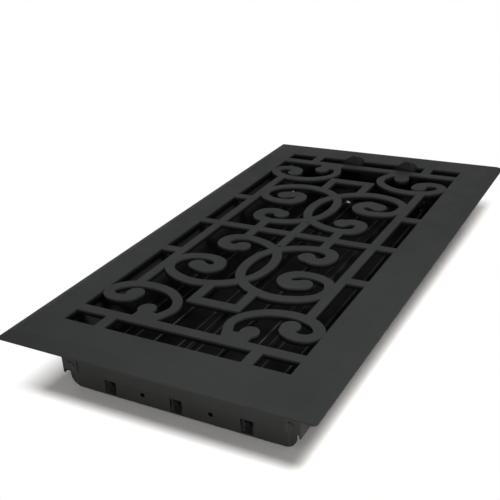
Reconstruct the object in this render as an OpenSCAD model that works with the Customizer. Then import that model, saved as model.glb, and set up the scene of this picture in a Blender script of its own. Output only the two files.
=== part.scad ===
// Scrollwork floor register with a three-blade damper, lying on its damper box.
// Origin: centre of the footprint, on the surface under the box.
// +Z up, +Y along the long side to the knobs, +X across the blades. Millimetres.

/* [Overall] */
// from the lower edge of the end walls to the top face of the plate
depth = 44.2; // [40:0.1:50]
// smallest gap between faces that move past each other
run_gap = 0.3; // [0.25:0.05:0.35]
// radial clearance of a pin that turns in its hole
pin_clearance = 0.05; // [0.03:0.01:0.08]

/* [Face plate] */
// reach of the flat top past the sides of the box, out to the crease of the bevel
border_reach_x = 12.8; // [12:0.1:17]
// reach of the flat top past the ends of the box, out to the crease of the bevel
border_reach_y = 18; // [16:0.5:22]
// run of the upper, shallow part of the rolled border
roll_run = 4.3; // [3.5:0.1:5]
// drop of the upper, shallow part of the rolled border
roll_drop = 1.2; // [0.8:0.1:1.5]
// run of the lower, steeper part of the rolled border
skirt_run = 3.2; // [2.5:0.1:4]
// drop of the lower, steeper part of the rolled border
skirt_drop = 2.1; // [1.5:0.1:2.5]
// height of the upright edge under the border
edge_h = 1.1; // [0.8:0.1:1.5]
// radius of the plate's corners in plan
plate_corner_r = 2.5; // [1:0.5:5]
// thickness of the cast grille
plate_t = 3; // [2.5:0.1:3.3]
// width of the rim that meets the floor round the duct
rim_land = 5; // [4:0.5:6]

/* [Grille bars] */
// distance of the pierced field from the outside of the box's sides
field_margin_x = 5; // [4.2:0.1:6.2]
// distance of the pierced field from the outside of the box's ends
field_margin_y = 1.5; // [1:0.1:3]
// half width of the middle cross bar
middle_bar_half = 3; // [2.6:0.1:3.4]
// half width of the short bar on the long centre line
centre_bar_half = 3; // [2.6:0.1:3.4]
// how far the centre bar runs from the middle
centre_bar_end = 20; // [18:0.5:22]
// distance of the two stub bars from the long centre line
stub_bar_x = 27.4; // [26:0.1:28]
// width of the two stub bars
stub_bar_w = 6; // [5:0.1:7]
// how far the stub bars run from the middle
stub_bar_end = 15; // [13:0.5:16]
// inner edge of the long frame bars
frame_bar_in = 53; // [52:0.1:54]
// width of the long frame bars
frame_bar_w = 5.8; // [5:0.1:6.5]
// how far the frame bars run from the middle
frame_bar_end = 96; // [95:0.5:97]
// distance from the middle to the side webs
side_web_y = 45.1; // [44:0.1:46]
// width of the side webs
side_web_w = 6.5; // [6:0.1:7]
// width of the slots between the end bars and the rim
end_slot_w = 11.5; // [11:0.1:12.5]
// width of the end bars
end_bar_w = 6.5; // [6:0.1:6.8]
// distance of the end webs from the long centre line
end_web_x = 42.5; // [42:0.1:43]
// width of the end webs
end_web_w = 6.6; // [6:0.1:7]
// distance of the box bars from the long centre line
box_bar_x = 11.3; // [11:0.1:12]
// width of the box bars
box_bar_w = 6; // [5.5:0.1:6.5]
// where the box bars leave the large scrolls
box_bar_start = 79; // [78:0.5:80]
// distance from the middle to the cross bar of the box
box_cross_y = 98.3; // [98:0.1:99]
// width of the cross bar of the box
box_cross_w = 6.7; // [6:0.1:7]

/* [Scrolls] */
// half width of the field that the bars and scroll points are drawn for
drawn_half_x = 70.2; // [70:0.1:70.4]
// distance from the middle to the end bars that the bars and scroll points are drawn for
drawn_end_y = 130.5; // [130:0.1:131]
// steps between two guide points of a scroll
scroll_steps = 5; // [4:1:6]
// radius of the round ends of the scrolls
scroll_ball_r = 5.5; // [5:0.1:5.7]

/* [Damper box] */
// thickness of the box sheet
sheet_t = 0.8; // [0.7:0.05:0.9]
// half width of the box over its side walls
box_half_x = 75.2; // [74.7:0.1:75.7]
// half length of the box over the upper part of its end walls
box_half_y = 150; // [149.6:0.1:150.4]
// how far the edges of the end walls stay inside the faces of the side walls
end_wall_short = 3.2; // [2.7:0.1:3.7]
// depth of the laps' feet and of the step in the end walls under the top face
lap_drop = 33; // [32:0.5:34]
// set-back of the lower part of the end walls
jog_in = 1.2; // [1:0.1:1.4]
// radius of the lower corners of the end walls
foot_corner_r = 7; // [5:0.5:8]
// width of the flanges that lie under the plate
flange_w = 6.5; // [6:0.1:7]
// how far the end flanges stay short of the edges of the end walls
end_flange_short = 10; // [8:0.5:14]
// how far the side flanges stay short of the ends of the box
side_flange_short = 12; // [11:0.5:20]
// width of the side wall's laps over the end walls
lap_w = 10.2; // [9:0.1:11]
// how far the hems along the foot of the side walls reach over the blades' low edges
hem_cover = 1.05; // [0.9:0.05:1.2]
// radius of the clinched buttons on the laps
clinch_r = 2.2; // [1.8:0.1:2.5]
// height of the clinched buttons
clinch_h = 0.5; // [0.4:0.1:0.6]
// distance of the clinched buttons from the faces of the side walls
clinch_in = 5.8; // [5.2:0.1:6.2]
// depth of the clinched buttons under the top face
clinch_drop = 29; // [28:0.5:30]

/* [Pegs] */
// radius of the cast pegs that hold the flanges
peg_r = 1.5; // [1.2:0.1:1.7]
// radius of the peened peg heads
peg_head_r = 2.5; // [2.2:0.1:2.8]
// height of the peened peg heads
peg_head_h = 0.6; // [0.4:0.05:0.6]
// clearance of the pegs in the flange holes
peg_clearance = 0.1; // [0.05:0.05:0.2]
// spacing of the pegs along the end flanges
end_peg_pitch = 45; // [40:1:50]
// spacing of the pegs along the side flanges
side_peg_pitch = 73; // [70:1:76]

/* [Blades] */
// width left beside the three blades' bays on each side of the box
bay_margin = 9.575; // [9.2:0.125:9.95]
// depth of the blade and lever axes under the top face
axis_drop = 37.8; // [37.5:0.1:38]
// how far a blade's raised edge reaches past its bay
high_edge_reach = 0.625; // [0.4:0.025:0.9]
// how far a blade's lowered edge reaches past its bay
low_edge_reach = 3.225; // [3:0.025:3.4]
// thickness of the blade sheet
blade_t = 0.7; // [0.6:0.05:0.8]
// height of the blade sheet over its axis
blade_lift = 2.6; // [2.4:0.05:2.8]
// distance of the blade's two creases from its axis
crease_x = 15.2; // [14:0.1:16]
// run of the slopes beside the creases
crease_slope = 1.3; // [1:0.1:1.6]
// rise of one edge over the sheet, and drop of the other
edge_step = 1; // [0.9:0.05:1.1]
// radius of the rod under the blade
rod_r = 1.2; // [1.1:0.05:1.25]
// outer radius of the stiffening bead along the blade
bead_r = 1.9; // [1.6:0.05:2]
// width of the turned-down end that holds the rod
ear_w = 7; // [6:0.5:8]
// how far the turned-down ends reach past the rod's axis
ear_drop = 2.4; // [2.1:0.1:2.6]
// gap between the rod and the blade's ends
grip_gap = 0.02; // [0.01:0.01:0.03]
// how far the rods stop inside the outer faces of the end walls
rod_short = 0.6; // [0.4:0.1:0.8]
// gap between the plain end of a blade and the bearing tongue
blade_end_gap = 0.6; // [0.5:0.1:1]
// step from the other end of a blade to its crank tab
crank_step = 0.2; // [0.1:0.1:0.6]

/* [Bearings] */
// width of the bearing windows in the end walls
window_w = 7.6; // [7:0.1:8]
// how far the bearing windows reach over the rods' axes
window_over = 3.1; // [2.8:0.1:3.3]
// height of the wall left under the windows
window_sill = 1.1; // [1:0.1:1.3]
// width of the bearing tongues
tongue_w = 3.6; // [3.4:0.1:4]
// how far the bearing tongues reach over the rods' axes
tongue_over = 2; // [1.9:0.1:2.2]
// lean of the bearing tongues
tongue_lean = 17; // [14:1:18]
// radius of the plain holes between the bearings
plain_hole_r = 1.5; // [1.4:0.05:1.6]

/* [Levers and links] */
// lean of the levers in the pose as built
lever_lean = 11.2; // [10:0.2:12]
// thickness of levers, link bars and crank tabs
strip_t = 1; // [0.9:0.05:1]
// width of the lever strips
lever_w = 7; // [6:0.5:7]
// radius of the lever's foot round its rivet
lever_foot_r = 4; // [3.8:0.1:4.2]
// distance from the rivet to the start of the lever's joggle
joggle_start = 17; // [16:0.5:18]
// distance from the rivet to the end of the lever's joggle
joggle_end = 24; // [23:0.5:25]
// distance from the rivet to the tip of the lever
lever_l = 40.5; // [40:0.5:41]
// distance from the axes to the link pins
crank_l = 9; // [8.5:0.5:9.5]
// radius of the link pins
link_pin_r = 1.25; // [1.1:0.05:1.3]
// radius of the link pin heads
link_head_r = 2.2; // [2:0.1:2.4]
// height of the link pin and rivet heads
head_h = 0.8; // [0.6:0.1:0.8]
// clearance of the crank pins in the link bars
link_clearance = 0.3; // [0.2:0.05:0.3]
// half width of the link bars
link_half_w = 3; // [2.8:0.1:3]
// width of the crank tabs
crank_w = 6; // [5.5:0.1:6.5]
// width of the neck between a blade and its crank tab
neck_w = 4; // [3.5:0.1:4.4]
// radius of the lever rivets
rivet_r = 1.45; // [1.35:0.05:1.45]
// radius of the lever rivet heads
rivet_head_r = 2.6; // [2.4:0.1:2.8]

/* [Knobs] */
// width of the knobs along their travel
knob_w = 14.4; // [14:0.1:14.6]
// clearance of the knobs on each side of the slot
knob_side_gap = 0.4; // [0.35:0.05:0.6]
// distance from the rivet to the foot of the knob
knob_foot = 35; // [34:0.5:36]
// distance from the rivet to the crown of the knob
knob_crown = 44.3; // [44:0.1:45]
// crown radius of the knobs along their travel
knob_long_r = 7.4; // [7.3:0.1:8]
// crown radius of the knobs across the slot
knob_cross_r = 5.6; // [5.2:0.1:6]
// clearance of the lever in the knob's pocket
pocket_clearance = 0.05; // [0.02:0.01:0.08]

/* [Hidden] */
// overlap of cutting shapes past the faces they cut
cut = 1;
// facets of round shapes
$fn = 48;

flat_half_x = box_half_x + border_reach_x;
flat_half_y = box_half_y + border_reach_y;
field_half_x = box_half_x - field_margin_x;
field_half_y = box_half_y - field_margin_y;
slot_y = field_half_y - end_slot_w;
end_bar_y = slot_y - end_bar_w;
// stretch of the drawn bars and scrolls to the field
kx = field_half_x / drawn_half_x;
ky = end_bar_y / drawn_end_y;

under_z = depth - plate_t;
rim_z = depth - roll_drop - skirt_drop - edge_h;
plate_half_x = flat_half_x + roll_run + skirt_run;
plate_half_y = flat_half_y + roll_run + skirt_run;
axis_z = depth - axis_drop;
lap_foot_z = depth - lap_drop;
wall_in_y = box_half_y - sheet_t;
foot_out_y = box_half_y - jog_in;
foot_in_y = foot_out_y - sheet_t;
lap_y = box_half_y + sheet_t;
bend_shift = sheet_t * tan(22.5);
window_h = axis_z + window_over - window_sill;
tongue_l = (axis_z + tongue_over) / cos(tongue_lean);
tongue_in_y = foot_out_y - sheet_t * cos(tongue_lean) - tongue_l * sin(tongue_lean);
end_wall_half_x = box_half_x - end_wall_short;
end_flange_half = end_wall_half_x - end_flange_short;
side_flange_half = box_half_y - side_flange_short;
clinch_x = box_half_x - clinch_in;
end_peg_y = box_half_y + flange_w / 2;
side_peg_x = box_half_x + flange_w / 2;
end_peg_step = kx * end_peg_pitch;
side_peg_step = ky * side_peg_pitch;

lever_y = foot_in_y - run_gap - strip_t;
link_y = lever_y - run_gap - strip_t;
crank_y = link_y - run_gap - strip_t;
knob_y = slot_y + end_slot_w / 2;
knob_d = end_slot_w - 2 * knob_side_gap;
lever_top_y = knob_y - strip_t / 2;
blade_pitch = 2 * (box_half_x - bay_margin) / 3;
high_edge_x = blade_pitch / 2 + high_edge_reach;
low_edge_x = blade_pitch / 2 + low_edge_reach;
side_foot_z = axis_z + blade_lift - edge_step + blade_t / 2 + run_gap;
hem_in_x = blade_pitch + low_edge_x - hem_cover;
blade_xs = [-blade_pitch, 0, blade_pitch];
plain_hole_x = blade_pitch / 2;
rod_half = foot_out_y - rod_short;
blade_near = tongue_in_y - blade_end_gap;
blade_far = crank_y - crank_step;
crank_x = crank_l * sin(lever_lean);
crank_z = crank_l * cos(lever_lean);

// Scroll guide points on the left half: distance from the long centre line, distance from the
// middle, half width of the stroke there.

// from the small curl over the pointed oval to the large curl
main_guide = [
    [22.8, 28.3, 4.2], [28.8, 31.8, 4.0], [35.8, 29.6, 4.1], [37.4, 23.0, 4.1], [33.6, 17.3, 3.8],
    [24.5, 15.4, 3.2], [12.0, 18.4, 3.2], [0.6, 25.4, 3.1], [-5.6, 35.0, 3.0], [-7.7, 48.3, 3.1],
    [-5.6, 61.5, 3.0], [1.0, 71.8, 3.1], [11.0, 78.9, 3.3], [25.5, 82.5, 3.3], [39.5, 79.8, 3.2],
    [49.3, 73.2, 3.0], [52.7, 63.8, 3.0], [48.2, 54.0, 3.2], [36.5, 50.1, 3.4], [26.2, 52.2, 3.8],
    [22.6, 59.3, 4.2], [27.6, 64.8, 4.8], [36.0, 62.4, 5.2]
];
main_balls = [[22.8, 28.3], [36.4, 61.9]];

// from the foot on the end bar over the corner to the inner curl
corner_guide = [
    [25.2, 132.0, 3.4], [21.0, 124.0, 2.9], [18.5, 115.3, 2.8], [22.3, 106.0, 2.9], [33.0, 98.5, 3.1],
    [47.5, 96.3, 3.3], [60.5, 100.0, 3.3], [67.0, 108.0, 3.3], [64.0, 114.8, 3.4], [56.5, 116.2, 3.5],
    [50.4, 112.8, 4.2], [50.2, 108.2, 4.8]
];
corner_balls = [[50.4, 107.8], [32.8, 121.2]];

// web between the standing ball, the corner scroll's foot and the end bar
neck_points = [[37, 132], [36.4, 129.6], [36.2, 125], [32, 120], [28, 123.6], [20, 124.5], [20, 132]];

// one value blended between four guide points
function blend(a, b, c, d, t) =
    0.5 * (2 * b + (c - a) * t + (2 * a - 5 * b + 4 * c - d) * t * t + (3 * b - a - 3 * c + d) * t * t * t);

// points stretched to the field, with their half widths as drawn
function fitted(g) = [for (p = g) len(p) > 2 ? [kx * p[0], ky * p[1], p[2]] : [kx * p[0], ky * p[1]]];

// guide point i, held at the ends
function guide(g, i) = g[min(max(i, 0), len(g) - 1)];

// centre line of a stroke with its half width
function stroke_line(g) = [
    for (i = [0 : len(g) - 2], s = [0 : scroll_steps - 1])
        blend(guide(g, i - 1), guide(g, i), guide(g, i + 1), guide(g, i + 2), s / scroll_steps),
    g[len(g) - 1]
];

// unit vector across the stroke at point i
function across(p, i) =
    let (a = p[max(i - 1, 0)], b = p[min(i + 1, len(p) - 1)], dx = b[0] - a[0], dy = b[1] - a[1],
         l = sqrt(dx * dx + dy * dy))
    [-dy / l, dx / l];

// one edge of the stroke, side 1 or -1
function stroke_edge(p, side) = [
    for (i = [0 : len(p) - 1])
        let (n = across(p, i))
        [p[i][0] + side * n[0] * p[i][2], p[i][1] + side * n[1] * p[i][2]]
];

// closed outline of a stroke
function stroke_outline(g) =
    let (p = stroke_line(g), a = stroke_edge(p, 1), b = stroke_edge(p, -1))
    concat(a, [for (i = [len(b) - 1 : -1 : 0]) b[i]]);

module scroll(g, balls) {
    polygon(stroke_outline(fitted(g)));
    for (b = fitted(balls)) {
        translate(b) circle(r = scroll_ball_r);
    }
}

// a straight bar from one corner, both measured in the drawn field, with its own width
module bar(x, y, w, h) {
    translate([kx * x, ky * y]) square([w, h]);
}

module quarter_bars() {
    bar(-cut, 0, kx * (drawn_half_x + 2 * cut), middle_bar_half);
    bar(0, 0, centre_bar_half, ky * centre_bar_end);
    bar(stub_bar_x - stub_bar_w / 2, 0, stub_bar_w, ky * stub_bar_end);
    bar(frame_bar_in, 0, frame_bar_w, ky * frame_bar_end);
    bar(frame_bar_in + cut, side_web_y, kx * (drawn_half_x - frame_bar_in), side_web_w);
    bar(-cut, drawn_end_y, kx * (drawn_half_x + 2 * cut), end_bar_w);
    bar(end_web_x, drawn_end_y + cut, end_web_w, field_half_y - end_bar_y);
    bar(box_bar_x, box_bar_start, box_bar_w, ky * (box_cross_y - box_bar_start + cut));
    bar(-cut, box_cross_y, kx * (box_bar_x + cut) + box_bar_w, box_cross_w);
}

// the scrolls of one quarter, which stop inside the end bar
module quarter_scrolls() {
    intersection() {
        union() {
            scroll(main_guide, main_balls);
            scroll(corner_guide, corner_balls);
            polygon(fitted(neck_points));
        }
        translate([-field_half_x, 0]) square([2 * field_half_x + cut, end_bar_y + end_bar_w / 2]);
    }
}

// everything that stays in the pierced field
module scrollwork() {
    for (sx = [-1, 1], sy = [-1, 1]) {
        mirror([sx < 0 ? 1 : 0, 0]) mirror([0, sy < 0 ? 1 : 0]) {
            quarter_bars();
            quarter_scrolls();
        }
    }
}

module openings() {
    difference() {
        square([2 * field_half_x, 2 * field_half_y], center = true);
        scrollwork();
    }
}

// section of the plate across one axis: a low slab with a rolled border
module plate_section(half) {
    flat = half - roll_run - skirt_run;
    mid = half - skirt_run;
    polygon([[-half, rim_z], [half, rim_z], [half, rim_z + edge_h], [mid, depth - roll_drop],
             [flat, depth], [-flat, depth], [-mid, depth - roll_drop], [-half, rim_z + edge_h]]);
}

module rounded_slab(half_x, half_y, r, z0, z1) {
    translate([0, 0, z0]) linear_extrude(z1 - z0) {
        square([2 * half_x - 2 * r, 2 * half_y], center = true);
        square([2 * half_x, 2 * half_y - 2 * r], center = true);
        for (sx = [-1, 1], sy = [-1, 1]) {
            translate([sx * (half_x - r), sy * (half_y - r)]) circle(r = r);
        }
    }
}

module peg_places() {
    for (s = [-1, 1]) {
        for (i = [-1 : 1]) {
            translate([i * end_peg_step, s * end_peg_y, 0]) children();
        }
        for (i = [-1.5 : 1.5]) {
            translate([s * side_peg_x, i * side_peg_step, 0]) children();
        }
    }
}

module face_plate() {
    color([0.16, 0.16, 0.165]) {
        difference() {
            intersection() {
                rotate([90, 0, 0]) linear_extrude(2 * plate_half_y, center = true)
                    plate_section(plate_half_x);
                rotate([90, 0, 90]) linear_extrude(2 * plate_half_x, center = true)
                    plate_section(plate_half_y);
                rounded_slab(plate_half_x, plate_half_y, plate_corner_r, rim_z - cut, depth + cut);
            }
            translate([rim_land - plate_half_x, rim_land - plate_half_y, rim_z - cut])
                cube([2 * (plate_half_x - rim_land), 2 * (plate_half_y - rim_land), under_z - rim_z + cut]);
            translate([0, 0, under_z - cut]) linear_extrude(plate_t + 2 * cut) openings();
        }
        peg_places() {
            translate([0, 0, under_z - sheet_t]) cylinder(r = peg_r, h = sheet_t + cut);
            translate([0, 0, under_z - sheet_t - peg_head_h]) cylinder(r = peg_head_r, h = peg_head_h);
        }
    }
}

// section of an end wall, drawn for the side of the knobs
module end_wall_section() {
    polygon([[box_half_y, under_z], [box_half_y, lap_foot_z], [foot_out_y, lap_foot_z - jog_in],
             [foot_out_y, 0], [foot_in_y, 0], [foot_in_y, lap_foot_z - jog_in + bend_shift],
             [wall_in_y, lap_foot_z + bend_shift], [wall_in_y, under_z]]);
}

// a tongue in a bearing window, leaning into the box
module bearing_tongue(x) {
    translate([x - tongue_w / 2, foot_out_y, sheet_t * sin(tongue_lean)]) rotate([tongue_lean, 0, 0])
        translate([0, -sheet_t, 0]) cube([tongue_w, sheet_t, tongue_l]);
}

// what the round lower corners take off the end wall, seen from the end
module foot_corners() {
    for (s = [-1, 1]) {
        mirror([s < 0 ? 1 : 0, 0]) difference() {
            translate([end_wall_half_x - foot_corner_r, -cut])
                square([foot_corner_r + cut, foot_corner_r + cut]);
            translate([end_wall_half_x - foot_corner_r, foot_corner_r]) circle(r = foot_corner_r);
        }
    }
}

// the pressed sheet of an end wall, with its windows and plain holes
module end_wall_sheet() {
    difference() {
        rotate([90, 0, 90]) linear_extrude(2 * end_wall_half_x, center = true) end_wall_section();
        translate([0, box_half_y + cut, 0]) rotate([90, 0, 0])
            linear_extrude(box_half_y - foot_in_y + 2 * cut) foot_corners();
        for (x = blade_xs) {
            translate([x - window_w / 2, foot_in_y - cut, window_sill])
                cube([window_w, sheet_t + 2 * cut, window_h]);
        }
        for (s = [-1, 1]) {
            translate([s * plain_hole_x, foot_out_y + cut, axis_z])
                rotate([90, 0, 0]) cylinder(r = plain_hole_r, h = sheet_t + 2 * cut);
        }
    }
}

module end_wall() {
    color([0.15, 0.15, 0.155]) difference() {
        union() {
            end_wall_sheet();
            translate([-end_flange_half, wall_in_y, under_z - sheet_t])
                cube([2 * end_flange_half, flange_w + sheet_t, sheet_t]);
            for (x = blade_xs) {
                bearing_tongue(x);
            }
        }
        for (x = blade_xs) {
            translate([x, box_half_y + cut, axis_z]) rotate([90, 0, 0])
                cylinder(r = rod_r + pin_clearance, h = box_half_y - tongue_in_y + 2 * cut);
        }
        for (i = [-1 : 1]) {
            translate([i * end_peg_step, end_peg_y, under_z - sheet_t - cut])
                cylinder(r = peg_r + peg_clearance, h = sheet_t + 2 * cut);
        }
    }
}

module end_wall_near() {
    mirror([0, 1, 0]) end_wall();
}

module end_wall_far() {
    end_wall();
}

// the right side wall, with its flange, foot hem and laps over the end walls
module side_wall() {
    color([0.15, 0.15, 0.155]) difference() {
        union() {
            translate([box_half_x - sheet_t, -lap_y, side_foot_z])
                cube([sheet_t, 2 * lap_y, under_z - side_foot_z]);
            translate([box_half_x - sheet_t, -side_flange_half, under_z - sheet_t])
                cube([flange_w + sheet_t, 2 * side_flange_half, sheet_t]);
            translate([hem_in_x, -wall_in_y + sheet_t, side_foot_z])
                cube([box_half_x - hem_in_x, 2 * wall_in_y - 2 * sheet_t, sheet_t]);
            for (s = [-1, 1]) {
                translate([box_half_x - lap_w, s > 0 ? box_half_y : -lap_y, lap_foot_z])
                    cube([lap_w, sheet_t, under_z - lap_foot_z]);
                translate([clinch_x, s * (lap_y + clinch_h / 2), depth - clinch_drop])
                    rotate([90, 0, 0]) cylinder(r = clinch_r, h = clinch_h, center = true);
            }
        }
        for (i = [-1.5 : 1.5]) {
            translate([side_peg_x, i * side_peg_step, under_z - sheet_t - cut])
                cylinder(r = peg_r + peg_clearance, h = sheet_t + 2 * cut);
        }
    }
}

module side_wall_right() {
    side_wall();
}

module side_wall_left() {
    mirror([1, 0, 0]) side_wall();
}

// rivets that carry the levers, through the plain holes of the far end wall
module lever_rivets() {
    color([0.62, 0.62, 0.62]) for (s = [-1, 1]) {
        translate([s * plain_hole_x, foot_out_y + head_h, axis_z]) rotate([90, 0, 0]) {
            cylinder(r = rivet_head_r, h = head_h);
            cylinder(r = rivet_r, h = foot_out_y + head_h - lever_y + run_gap + head_h);
            translate([0, 0, foot_out_y + head_h - lever_y + run_gap])
                cylinder(r = rivet_head_r, h = head_h);
        }
    }
}

// one face of the blade sheet about its axis, from the lowered edge to the raised one
function blade_face(h) = [
    [-low_edge_x, blade_lift - edge_step + h], [-crease_x - crease_slope, blade_lift - edge_step + h],
    [-crease_x, blade_lift + h], [crease_x, blade_lift + h],
    [crease_x + crease_slope, blade_lift + edge_step + h], [high_edge_x, blade_lift + edge_step + h]
];

// section of a blade about its axis, closed, with an open bead along its middle
module blade_section() {
    upper = blade_face(blade_t / 2);
    lower = blade_face(-blade_t / 2);
    difference() {
        union() {
            polygon(concat(upper, [for (i = [len(lower) - 1 : -1 : 0]) lower[i]]));
            intersection() {
                translate([0, blade_lift]) circle(r = bead_r);
                translate([-bead_r, blade_lift]) square([2 * bead_r, bead_r]);
            }
        }
        translate([0, blade_lift]) circle(r = bead_r - blade_t);
    }
}

module blade(x) {
    color([0.13, 0.13, 0.135]) translate([x, 0, axis_z]) difference() {
        union() {
            translate([0, blade_far, 0]) rotate([90, 0, 0])
                linear_extrude(blade_far + blade_near) blade_section();
            translate([-ear_w / 2, -blade_near, -ear_drop])
                cube([ear_w, blade_t, ear_drop + blade_lift]);
            translate([0, crank_y, 0]) rotate([0, lever_lean, 0]) {
                translate([-crank_w / 2, 0, -ear_drop]) cube([crank_w, strip_t, crank_l + ear_drop]);
                translate([0, strip_t, crank_l]) rotate([90, 0, 0]) cylinder(r = crank_w / 2, h = strip_t);
            }
            translate([-neck_w / 2, blade_far - cut, blade_lift - blade_t / 2])
                cube([neck_w, crank_y + strip_t - blade_far + cut, blade_t]);
        }
        translate([0, rod_half, 0]) rotate([90, 0, 0])
            cylinder(r = rod_r + grip_gap, h = 2 * rod_half);
        rotate([0, lever_lean, 0]) translate([0, crank_y + strip_t + cut, crank_l])
            rotate([90, 0, 0]) cylinder(r = link_pin_r + pin_clearance, h = strip_t + 2 * cut);
    }
}

module blade_left() {
    blade(blade_xs[0]);
}

module blade_centre() {
    blade(blade_xs[1]);
}

module blade_right() {
    blade(blade_xs[2]);
}

module rod(x) {
    color([0.45, 0.45, 0.45]) translate([x, rod_half, axis_z]) rotate([90, 0, 0])
        cylinder(r = rod_r, h = 2 * rod_half);
}

module rod_left() {
    rod(blade_xs[0]);
}

module rod_centre() {
    rod(blade_xs[1]);
}

module rod_right() {
    rod(blade_xs[2]);
}

// a pin with two heads between two distances from the middle
module headed_pin(x, y0, y1) {
    color([0.45, 0.45, 0.45]) translate([x + crank_x, y1, axis_z + crank_z]) rotate([90, 0, 0]) {
        cylinder(r = link_head_r, h = head_h);
        cylinder(r = link_pin_r, h = y1 - y0);
        translate([0, 0, y1 - y0 - head_h]) cylinder(r = link_head_r, h = head_h);
    }
}

module crank_pin(x) {
    headed_pin(x, crank_y - head_h, link_y + strip_t + run_gap + head_h);
}

module crank_pin_left() {
    crank_pin(blade_xs[0]);
}

module crank_pin_centre() {
    crank_pin(blade_xs[1]);
}

module crank_pin_right() {
    crank_pin(blade_xs[2]);
}

module lever_pin(x) {
    headed_pin(x, link_y - run_gap - head_h, lever_y + strip_t + head_h);
}

module lever_pin_left() {
    lever_pin(-plain_hole_x);
}

module lever_pin_right() {
    lever_pin(plain_hole_x);
}

// a level bar from x0 to x1 with a running hole at the lever and wider holes at the cranks
module link_bar(x0, x1, lever_x, cranks) {
    color([0.3, 0.3, 0.3]) translate([crank_x, link_y + strip_t, axis_z + crank_z]) rotate([90, 0, 0])
        difference() {
            union() {
                translate([x0, -link_half_w, 0]) cube([x1 - x0, 2 * link_half_w, strip_t]);
                translate([x0, 0, 0]) cylinder(r = link_half_w, h = strip_t);
                translate([x1, 0, 0]) cylinder(r = link_half_w, h = strip_t);
            }
            translate([lever_x, 0, -cut]) cylinder(r = link_pin_r + pin_clearance, h = strip_t + 2 * cut);
            for (x = cranks) {
                translate([x, 0, -cut]) cylinder(r = link_pin_r + link_clearance, h = strip_t + 2 * cut);
            }
        }
}

module link_bar_left() {
    link_bar(blade_xs[0], blade_xs[1], -plain_hole_x, [blade_xs[0], blade_xs[1]]);
}

module link_bar_right() {
    link_bar(plain_hole_x, blade_xs[2], plain_hole_x, [blade_xs[2]]);
}

// section of a lever along its length, seen from the side
module lever_section(extra) {
    polygon([[lever_y + strip_t + extra, 0], [lever_y + strip_t + extra, joggle_start],
             [lever_top_y + strip_t + extra, joggle_end], [lever_top_y + strip_t + extra, lever_l],
             [lever_top_y - extra, lever_l], [lever_top_y - extra, joggle_end],
             [lever_y - extra, joggle_start], [lever_y - extra, 0]]);
}

module lever(x) {
    color([0.3, 0.3, 0.3]) translate([x, 0, axis_z]) rotate([0, lever_lean, 0]) difference() {
        union() {
            rotate([90, 0, 90]) linear_extrude(lever_w, center = true) lever_section(0);
            translate([0, lever_y + strip_t, 0]) rotate([90, 0, 0]) cylinder(r = lever_foot_r, h = strip_t);
        }
        translate([0, lever_y + strip_t + cut, 0]) rotate([90, 0, 0])
            cylinder(r = rivet_r + pin_clearance, h = strip_t + 2 * cut);
        translate([0, lever_y + strip_t + cut, crank_l]) rotate([90, 0, 0])
            cylinder(r = link_pin_r + pin_clearance, h = strip_t + 2 * cut);
    }
}

module lever_left() {
    lever(-plain_hole_x);
}

module lever_right() {
    lever(plain_hole_x);
}

// outline of a knob in one upright plane: straight sides under a round crown
module knob_profile(width, crown_r) {
    intersection() {
        translate([-width / 2, knob_foot]) square([width, knob_crown - knob_foot]);
        translate([0, knob_crown - crown_r]) circle(r = crown_r);
    }
}

module knob(x) {
    color([0.12, 0.12, 0.12]) translate([x, 0, axis_z]) rotate([0, lever_lean, 0]) difference() {
        translate([0, knob_y, 0]) intersection() {
            rotate([90, 0, 0]) linear_extrude(2 * knob_d, center = true)
                knob_profile(knob_w, knob_long_r);
            rotate([90, 0, 90]) linear_extrude(2 * knob_w, center = true)
                knob_profile(knob_d, knob_cross_r);
        }
        translate([-lever_w / 2 - pocket_clearance, lever_top_y - pocket_clearance, knob_foot - cut])
            cube([lever_w + 2 * pocket_clearance, strip_t + 2 * pocket_clearance, lever_l - knob_foot + cut]);
    }
}

module knob_left() {
    knob(-plain_hole_x);
}

module knob_right() {
    knob(plain_hole_x);
}

face_plate();
end_wall_near();
end_wall_far();
side_wall_left();
side_wall_right();
lever_rivets();
blade_left();
blade_centre();
blade_right();
rod_left();
rod_centre();
rod_right();
crank_pin_left();
crank_pin_centre();
crank_pin_right();
link_bar_left();
link_bar_right();
lever_left();
lever_right();
lever_pin_left();
lever_pin_right();
knob_left();
knob_right();
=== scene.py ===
import bpy
from mathutils import Matrix, Vector


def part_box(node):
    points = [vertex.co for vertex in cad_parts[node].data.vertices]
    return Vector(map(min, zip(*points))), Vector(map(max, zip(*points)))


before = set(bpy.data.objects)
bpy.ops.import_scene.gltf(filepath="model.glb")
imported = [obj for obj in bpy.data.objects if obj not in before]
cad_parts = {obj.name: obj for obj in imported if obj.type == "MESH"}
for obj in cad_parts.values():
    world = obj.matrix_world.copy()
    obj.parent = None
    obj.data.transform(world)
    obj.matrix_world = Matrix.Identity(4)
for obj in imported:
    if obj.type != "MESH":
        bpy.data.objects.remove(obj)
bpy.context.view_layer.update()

# Lengths are in metres, in the part's own frame.

# camera, at the photo's angle

CAMERA_AT = (0.22140, -0.44117, 0.26616)
CAMERA_RIGHT = Vector((0.87784, 0.47523, -0.05965))
CAMERA_UP = Vector((-0.15542, 0.40044, 0.90304))
LENS_MM = 58.95
SENSOR_MM = 36.0
CLIP_START = 0.01
CLIP_END = 50

# stage

# the white surroundings' strength as a light on matt surfaces, and as they are seen
WORLD_LIGHT = 0.22
WORLD_SEEN = 1.0
# each lamp's place, two sizes and power in watts; all of them face the target
LAMP_TARGET = (0, 0, 0.02)
LAMPS = {
    "key": ((0.3, -0.32, 0.6), (0.16, 0.16), 5.5),
    "low_front": ((0.7, -1.1, 0.2), (0.8, 0.3), 6),
}
# the floor's half size, and its height, just under the box's feet
FLOOR_HALF = 6.0
FLOOR_Z = -0.0002
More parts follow.
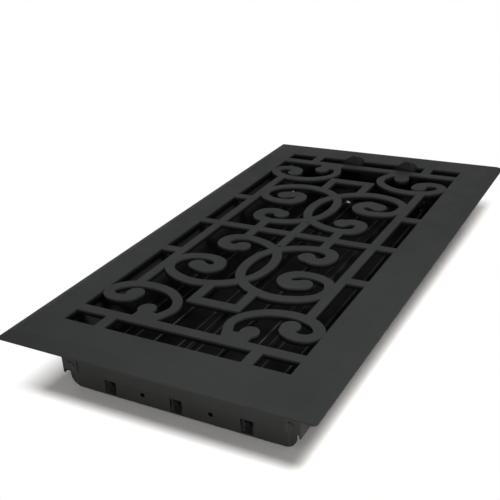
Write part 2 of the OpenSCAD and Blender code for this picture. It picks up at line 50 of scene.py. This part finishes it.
# the floor's tone as light bounces off it, as it is seen, and as it is seen inside the box, where it
# is lowered as painted shade
FLOOR_TONE = 0.86
FLOOR_SEEN = 1.4
FLOOR_SEEN_PAINTED_SHADE = 0.7
# the tint of the floor's shadow, in red, green and blue
FLOOR_WARMTH = (1.0, 0.975, 0.945)
# half width of the floor under the box that gets the painted shade, and its fading edges across and
# along
FLOOR_SHADE_X = 0.055
FLOOR_SHADE_FADE_X = 0.012
FLOOR_SHADE_FADE_Y = 0.001
# limits of the patch of floor that keeps the full shadow, and the width of its fading edge
SHADOW_X = 0.082
SHADOW_NEAR_Y = -0.158
SHADOW_FAR_Y = 0.19
SHADOW_FADE = 0.022

# coats

# painted shade fills the plate's openings below the lower of these two heights and fades out by the
# upper one
TOP_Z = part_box("face_plate")[1][2]
SHADE_FULL_BELOW_Z = TOP_Z - 0.0016
SHADE_GONE_ABOVE_Z = TOP_Z - 0.0006
# half sizes of the plate's pierced field, and its fading edge
FIELD_X = 0.0745
FIELD_Y = 0.151
FIELD_FADE = 0.002
# half sizes of the box's inside: across, along at the end walls' feet, and along above their jogs
INNER_X = 0.0742
INNER_FOOT_Y = 0.1486
INNER_Y = 0.1495
JOG_Z = 0.0113
INNER_FADE_X = 0.0003
INNER_FADE_Y = 0.0002
JOG_FADE = 0.0004
# near black painted shade, laid on the walls of the plate's openings, its underside and the box's
# inside
PAINTED_SHADE_TONE = (0.003, 0.003, 0.003)
# painted highlight lines, each with its place, half width and strength: one where a side wall's hem
# ends, and those of a blade, placed from the blade's axis
HEM_LINE = (0.0678, 0.0005, 0.5)
BLADE_LINES = (
    (-0.0165, 0.0005, 0.5), (-0.0152, 0.0004, 0.3), (0.0, 0.0006, 0.7),
    (0.0152, 0.0006, 1.0), (0.0165, 0.0004, 0.4), (0.0221, 0.0006, 0.4),
)
BLADE_AXES = [sum(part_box(rod)[k][0] for k in (0, 1)) / 2
              for rod in ("rod_left", "rod_centre", "rod_right")]
# tone of the painted highlight lines
HIGHLIGHT_TONE = (0.075, 0.075, 0.073)
# share of a painted highlight line's half width that has its full strength
LINE_CORE = 0.4
# noise scales of the coats' cloudy tone, uneven gloss, slow waves and orange peel, of the painted
# highlight's unevenness along a fold and of steel's streaks, and the stretch that lays the last two
# along the part
CLOUD_SCALE = 18
GLOSS_SCALE = 60
WAVE_SCALE = 140
PEEL_SCALE = 900
FOLD_HIGHLIGHT_SCALE = 90
STREAK_SCALE = 700
FOLD_HIGHLIGHT_STRETCH = (1, 0.15, 1)
STREAK_STRETCH = (1, 0.05, 1)
# bump depths, and the slow waves' strength
WAVE_DEPTH = 0.00008
PEEL_DEPTH = 0.00006
STREAK_DEPTH = 0.00002
WAVE_STRENGTH = 0.25
# how far the roughness strays to each side on a coat and on steel
COAT_SPREAD = 0.05
STEEL_SPREAD = 0.08


class Nodes:
    """Adds and joins the nodes of one material or world with short calls."""

    def __init__(self, owner):
        owner.use_nodes = True
        self.owner = owner
        self.tree = owner.node_tree

    def add(self, kind, **values):
        node = self.tree.nodes.new(kind)
        for key, value in values.items():
            setattr(node, key, value)
        return node

    def link(self, a, b):
        self.tree.links.new(a, b)

    def feed(self, value, socket):
        """Links a socket's value, or sets a plain one."""
        if isinstance(value, bpy.types.NodeSocket):
            self.link(value, socket)
        else:
            socket.default_value = value

    def math(self, operation, *values):
        node = self.add("ShaderNodeMath", operation=operation)
        for value, socket in zip(values, node.inputs):
            self.feed(value, socket)
        return node.outputs[0]

    def both(self, a, b):
        return self.math("MULTIPLY", a, b)

    def place(self, scale=(1, 1, 1)):
        coords = self.add("ShaderNodeTexCoord")
        mapping = self.add("ShaderNodeMapping")
        mapping.inputs["Scale"].default_value = scale
        self.link(coords.outputs["Object"], mapping.inputs["Vector"])
        return mapping.outputs["Vector"]

    def along(self, axis):
        """One coordinate of the surface point."""
        split = self.add("ShaderNodeSeparateXYZ")
        self.link(self.place(), split.inputs["Vector"])
        return split.outputs[axis]

    def noise(self, scale, detail, roughness, stretch=(1, 1, 1)):
        node = self.add("ShaderNodeTexNoise")
        node.inputs["Scale"].default_value = scale
        node.inputs["Detail"].default_value = detail
        node.inputs["Roughness"].default_value = roughness
        self.link(self.place(stretch), node.inputs["Vector"])
        return node.outputs["Fac"]

    def span(self, value, low, high, to_low, to_high):
        node = self.add("ShaderNodeMapRange")
        node.inputs["From Min"].default_value = low
        node.inputs["From Max"].default_value = high
        node.inputs["To Min"].default_value = to_low
        node.inputs["To Max"].default_value = to_high
        self.link(value, node.inputs["Value"])
        return node.outputs["Result"]

    def within(self, axis, half, fade):
        """1 where the coordinate is nearer to the middle than half, falling to 0 over fade."""
        return self.span(self.math("ABSOLUTE", self.along(axis)), half, half + fade, 1, 0)

    def line(self, value, at, half, strength):
        """A line where the value is near at, fading out over its half width."""
        away = self.math("ABSOLUTE", self.math("SUBTRACT", value, at))
        return self.span(away, half * LINE_CORE, half, strength, 0)

    def mix(self, factor, a, b):
        node = self.add("ShaderNodeMix", data_type="RGBA")
        self.link(factor, node.inputs["Factor"])
        for value, socket in ((a, node.inputs["A"]), (b, node.inputs["B"])):
            self.feed(value if isinstance(value, bpy.types.NodeSocket) else (*value, 1), socket)
        return node.outputs["Result"]

    def bump(self, height, distance, strength, under=None):
        node = self.add("ShaderNodeBump")
        node.inputs["Distance"].default_value = distance
        node.inputs["Strength"].default_value = strength
        self.link(height, node.inputs["Height"])
        if under is not None:
            self.link(under, node.inputs["Normal"])
        return node.outputs["Normal"]

    def seen_ray(self):
        """1 for rays from the camera, a gloss or a clear surface, and 0 for light on matt ones."""
        path = self.add("ShaderNodeLightPath")
        seen = path.outputs["Is Camera Ray"]
        for ray in ("Is Glossy Ray", "Is Transmission Ray"):
            seen = self.math("MAXIMUM", seen, path.outputs[ray])
        return seen

    def by_ray(self, plain, seen):
        """A value that is one number for seen rays and another for the rest."""
        return self.span(self.seen_ray(), 0, 1, plain, seen)


# materials

def powder_coat(name, dark, light, roughness, specular, orange_peel, finish=None):
    """Satin powder coat: faint cloudy tone, fine orange peel, slightly uneven gloss."""
    m = Nodes(bpy.data.materials.new(name))
    shader = m.tree.nodes["Principled BSDF"]
    tone = m.mix(m.span(m.noise(CLOUD_SCALE, 3, 0.55), 0.35, 0.65, 0, 1), dark, light)
    if finish is not None:
        tone = finish(m, tone)
    m.link(tone, shader.inputs["Base Color"])
    gloss = m.noise(GLOSS_SCALE, 3, 0.6)
    m.link(m.span(gloss, 0.3, 0.7, roughness - COAT_SPREAD, roughness + COAT_SPREAD),
           shader.inputs["Roughness"])
    shader.inputs["Specular IOR Level"].default_value = specular
    peel = m.bump(m.noise(PEEL_SCALE, 2, 0.5), PEEL_DEPTH, orange_peel)
    waves = m.bump(m.noise(WAVE_SCALE, 2, 0.5), WAVE_DEPTH, WAVE_STRENGTH, under=peel)
    m.link(waves, shader.inputs["Normal"])
    return m.owner


def shade_painted_in_openings(m, tone):
    """The openings' walls and the underside get a near black painted shade below the plate's top."""
    inside = m.both(m.within("X", FIELD_X, FIELD_FADE), m.within("Y", FIELD_Y, FIELD_FADE))
    deep = m.span(m.along("Z"), SHADE_FULL_BELOW_Z, SHADE_GONE_ABOVE_Z, 1, 0)
    return m.mix(m.both(inside, deep), tone, PAINTED_SHADE_TONE)


def highlight_over_coat(m, line, tone):
    """The line's painted highlight tone over the coat, uneven along the fold."""
    uneven = m.span(m.noise(FOLD_HIGHLIGHT_SCALE, 2, 0.5, FOLD_HIGHLIGHT_STRETCH), 0.35, 0.6, 0.35, 1)
    return m.mix(m.both(line, uneven), tone, HIGHLIGHT_TONE)


def shade_inside_and_hem_highlight(m, tone):
    """The box's inner faces and bent tongues get a near black painted shade, and a painted highlight
    line runs where each side wall's hem ends.
    """
    across = m.within("X", INNER_X, INNER_FADE_X)
    low = m.both(across, m.within("Y", INNER_FOOT_Y, INNER_FADE_Y))
    high = m.both(across, m.within("Y", INNER_Y, INNER_FADE_Y))
    above = m.span(m.along("Z"), JOG_Z, JOG_Z + JOG_FADE, 0, 1)
    inside = m.math("MAXIMUM", low, m.both(high, above))
    hem_highlight = m.line(m.math("ABSOLUTE", m.along("X")), *HEM_LINE)
    return highlight_over_coat(m, hem_highlight, m.mix(inside, tone, PAINTED_SHADE_TONE))


def painted_fold_highlights(m, tone):
    """Each blade's creases, bead ridge and raised edge get painted highlight lines."""
    x = m.along("X")
    lines = [m.line(x, axis_x + offset, half, strength)
             for axis_x in BLADE_AXES for offset, half, strength in BLADE_LINES]
    most = lines[0]
    for line in lines[1:]:
        most = m.math("MAXIMUM", most, line)
    return highlight_over_coat(m, most, tone)


def bare_metal(name, tone, roughness, metallic):
    """Drawn or headed steel: fine streaks in tone and gloss."""
    m = Nodes(bpy.data.materials.new(name))
    shader = m.tree.nodes["Principled BSDF"]
    streak = m.noise(STREAK_SCALE, 3, 0.6, STREAK_STRETCH)
    darker = [0.8 * channel for channel in tone]
    m.link(m.mix(m.span(streak, 0.3, 0.7, 0, 1), darker, tone), shader.inputs["Base Color"])
    m.link(m.span(streak, 0.3, 0.7, roughness - STEEL_SPREAD, roughness + STEEL_SPREAD),
           shader.inputs["Roughness"])
    shader.inputs["Metallic"].default_value = metallic
    m.link(m.bump(streak, STREAK_DEPTH, 0.5), shader.inputs["Normal"])
    return m.owner


PLATE = powder_coat("plate_coat", (0.0203, 0.0212, 0.0210), (0.0237, 0.0247, 0.0245),
                    roughness=0.62, specular=0.05, orange_peel=0.35, finish=shade_painted_in_openings)
BOX = powder_coat("box_coat", (0.0284, 0.0286, 0.0275), (0.0328, 0.033, 0.0318),
                  roughness=0.6, specular=0.08, orange_peel=0.2, finish=shade_inside_and_hem_highlight)
# the blades' coat is near black, darker than the box's, as painted shade for the inside of the box
BLADE_SHADED = powder_coat("blade_coat_painted_shade", (0.0015, 0.0015, 0.0015), (0.003, 0.003, 0.003),
                    roughness=0.5, specular=0.05, orange_peel=0.2, finish=painted_fold_highlights)
LINK = powder_coat("link_coat", (0.006, 0.006, 0.006), (0.009, 0.009, 0.009),
                   roughness=0.6, specular=0.1, orange_peel=0.2)
KNOB = powder_coat("knob_plastic", (0.005, 0.005, 0.0052), (0.007, 0.007, 0.0072),
                   roughness=0.65, specular=0.05, orange_peel=0.15)
STEEL = bare_metal("drawn_steel", (0.02, 0.02, 0.021), roughness=0.5, metallic=1)
BRIGHT = bare_metal("bright_rivet", (0.75, 0.75, 0.75), roughness=0.4, metallic=0.4)

# material by the start of a node's name; the longest start that fits is taken
MATERIAL_OF = {
    "face_plate": PLATE, "lever_rivets": BRIGHT,
    "end_wall": BOX, "side_wall": BOX, "blade": BLADE_SHADED, "rod": STEEL, "crank_pin": STEEL,
    "lever_pin": STEEL, "link_bar": LINK, "lever": LINK, "knob": KNOB,
}


def material_for(node):
    best = max((key for key in MATERIAL_OF if node.startswith(key)), key=len)
    return MATERIAL_OF[best]


def dress_cad_nodes():
    for name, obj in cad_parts.items():
        for slot in obj.material_slots:
            slot.material = material_for(name)


def add_floor():
    """A white sheet that keeps the part's shadow: white to seen rays beyond the shadow's patch, and
    darker to them under the box as painted shade.
    """
    mesh = bpy.data.meshes.new("floor")
    corners = [(x * FLOOR_HALF, y * FLOOR_HALF, 0) for x, y in ((-1, -1), (1, -1), (1, 1), (-1, 1))]
    mesh.from_pydata(corners, [], [(0, 1, 2, 3)])
    obj = bpy.data.objects.new("floor", mesh)
    bpy.context.collection.objects.link(obj)
    m = Nodes(bpy.data.materials.new("floor"))
    m.tree.nodes.remove(m.tree.nodes["Principled BSDF"])

    # painted shade: the floor under the box is darker to seen rays
    under = m.both(m.within("X", FLOOR_SHADE_X, FLOOR_SHADE_FADE_X),
                   m.within("Y", INNER_FOOT_Y, FLOOR_SHADE_FADE_Y))
    painted_shade = m.span(m.both(under, m.seen_ray()), 0, 1, 1, FLOOR_SEEN_PAINTED_SHADE / FLOOR_SEEN)
    level = m.both(m.by_ray(FLOOR_TONE, FLOOR_SEEN), painted_shade)
    tone = m.add("ShaderNodeCombineColor")
    for channel, warmth in zip(("Red", "Green", "Blue"), FLOOR_WARMTH):
        m.link(m.both(level, warmth), tone.inputs[channel])
    matt = m.add("ShaderNodeBsdfDiffuse")
    m.link(tone.outputs["Color"], matt.inputs["Color"])

    white = m.add("ShaderNodeEmission")
    y = m.along("Y")
    lengthwise = m.both(m.span(y, SHADOW_NEAR_Y - SHADOW_FADE, SHADOW_NEAR_Y, 0, 1),
                        m.span(y, SHADOW_FAR_Y, SHADOW_FAR_Y + SHADOW_FADE, 1, 0))
    away = m.span(m.both(m.within("X", SHADOW_X, SHADOW_FADE), lengthwise), 0, 1, 1, 0)
    mixed = m.add("ShaderNodeMixShader")
    m.link(m.both(away, m.seen_ray()), mixed.inputs["Fac"])
    m.link(matt.outputs["BSDF"], mixed.inputs[1])
    m.link(white.outputs["Emission"], mixed.inputs[2])
    m.link(mixed.outputs["Shader"], m.tree.nodes["Material Output"].inputs["Surface"])

    obj.data.materials.append(m.owner)
    obj.location.z = FLOOR_Z


def add_world():
    world = bpy.data.worlds.new("studio")
    bpy.context.scene.world = world
    w = Nodes(world)
    background = w.tree.nodes["Background"]
    background.inputs["Color"].default_value = (1, 1, 1, 1)
    w.link(w.by_ray(WORLD_LIGHT, WORLD_SEEN), background.inputs["Strength"])


def add_lamps():
    for name, (at, size, power) in LAMPS.items():
        data = bpy.data.lights.new(name, "AREA")
        data.shape = "RECTANGLE"
        data.size, data.size_y = size
        data.energy = power
        obj = bpy.data.objects.new(name, data)
        bpy.context.collection.objects.link(obj)
        aim = Vector(LAMP_TARGET) - Vector(at)
        turn = aim.to_track_quat("-Z", "Y").to_matrix()
        obj.matrix_world = Matrix.Translation(at) @ turn.to_4x4()


def add_camera():
    data = bpy.data.cameras.new("view")
    data.lens = LENS_MM
    data.sensor_width = SENSOR_MM
    data.clip_start = CLIP_START
    data.clip_end = CLIP_END
    cam = bpy.data.objects.new("view", data)
    bpy.context.collection.objects.link(cam)
    back = CAMERA_RIGHT.cross(CAMERA_UP)
    turn = Matrix((CAMERA_RIGHT, CAMERA_UP, back)).transposed()
    cam.matrix_world = Matrix.Translation(CAMERA_AT) @ turn.to_4x4()
    bpy.context.scene.camera = cam


dress_cad_nodes()
add_floor()
add_world()
add_lamps()
add_camera()
bpy.context.scene.view_settings.view_transform = "Standard"
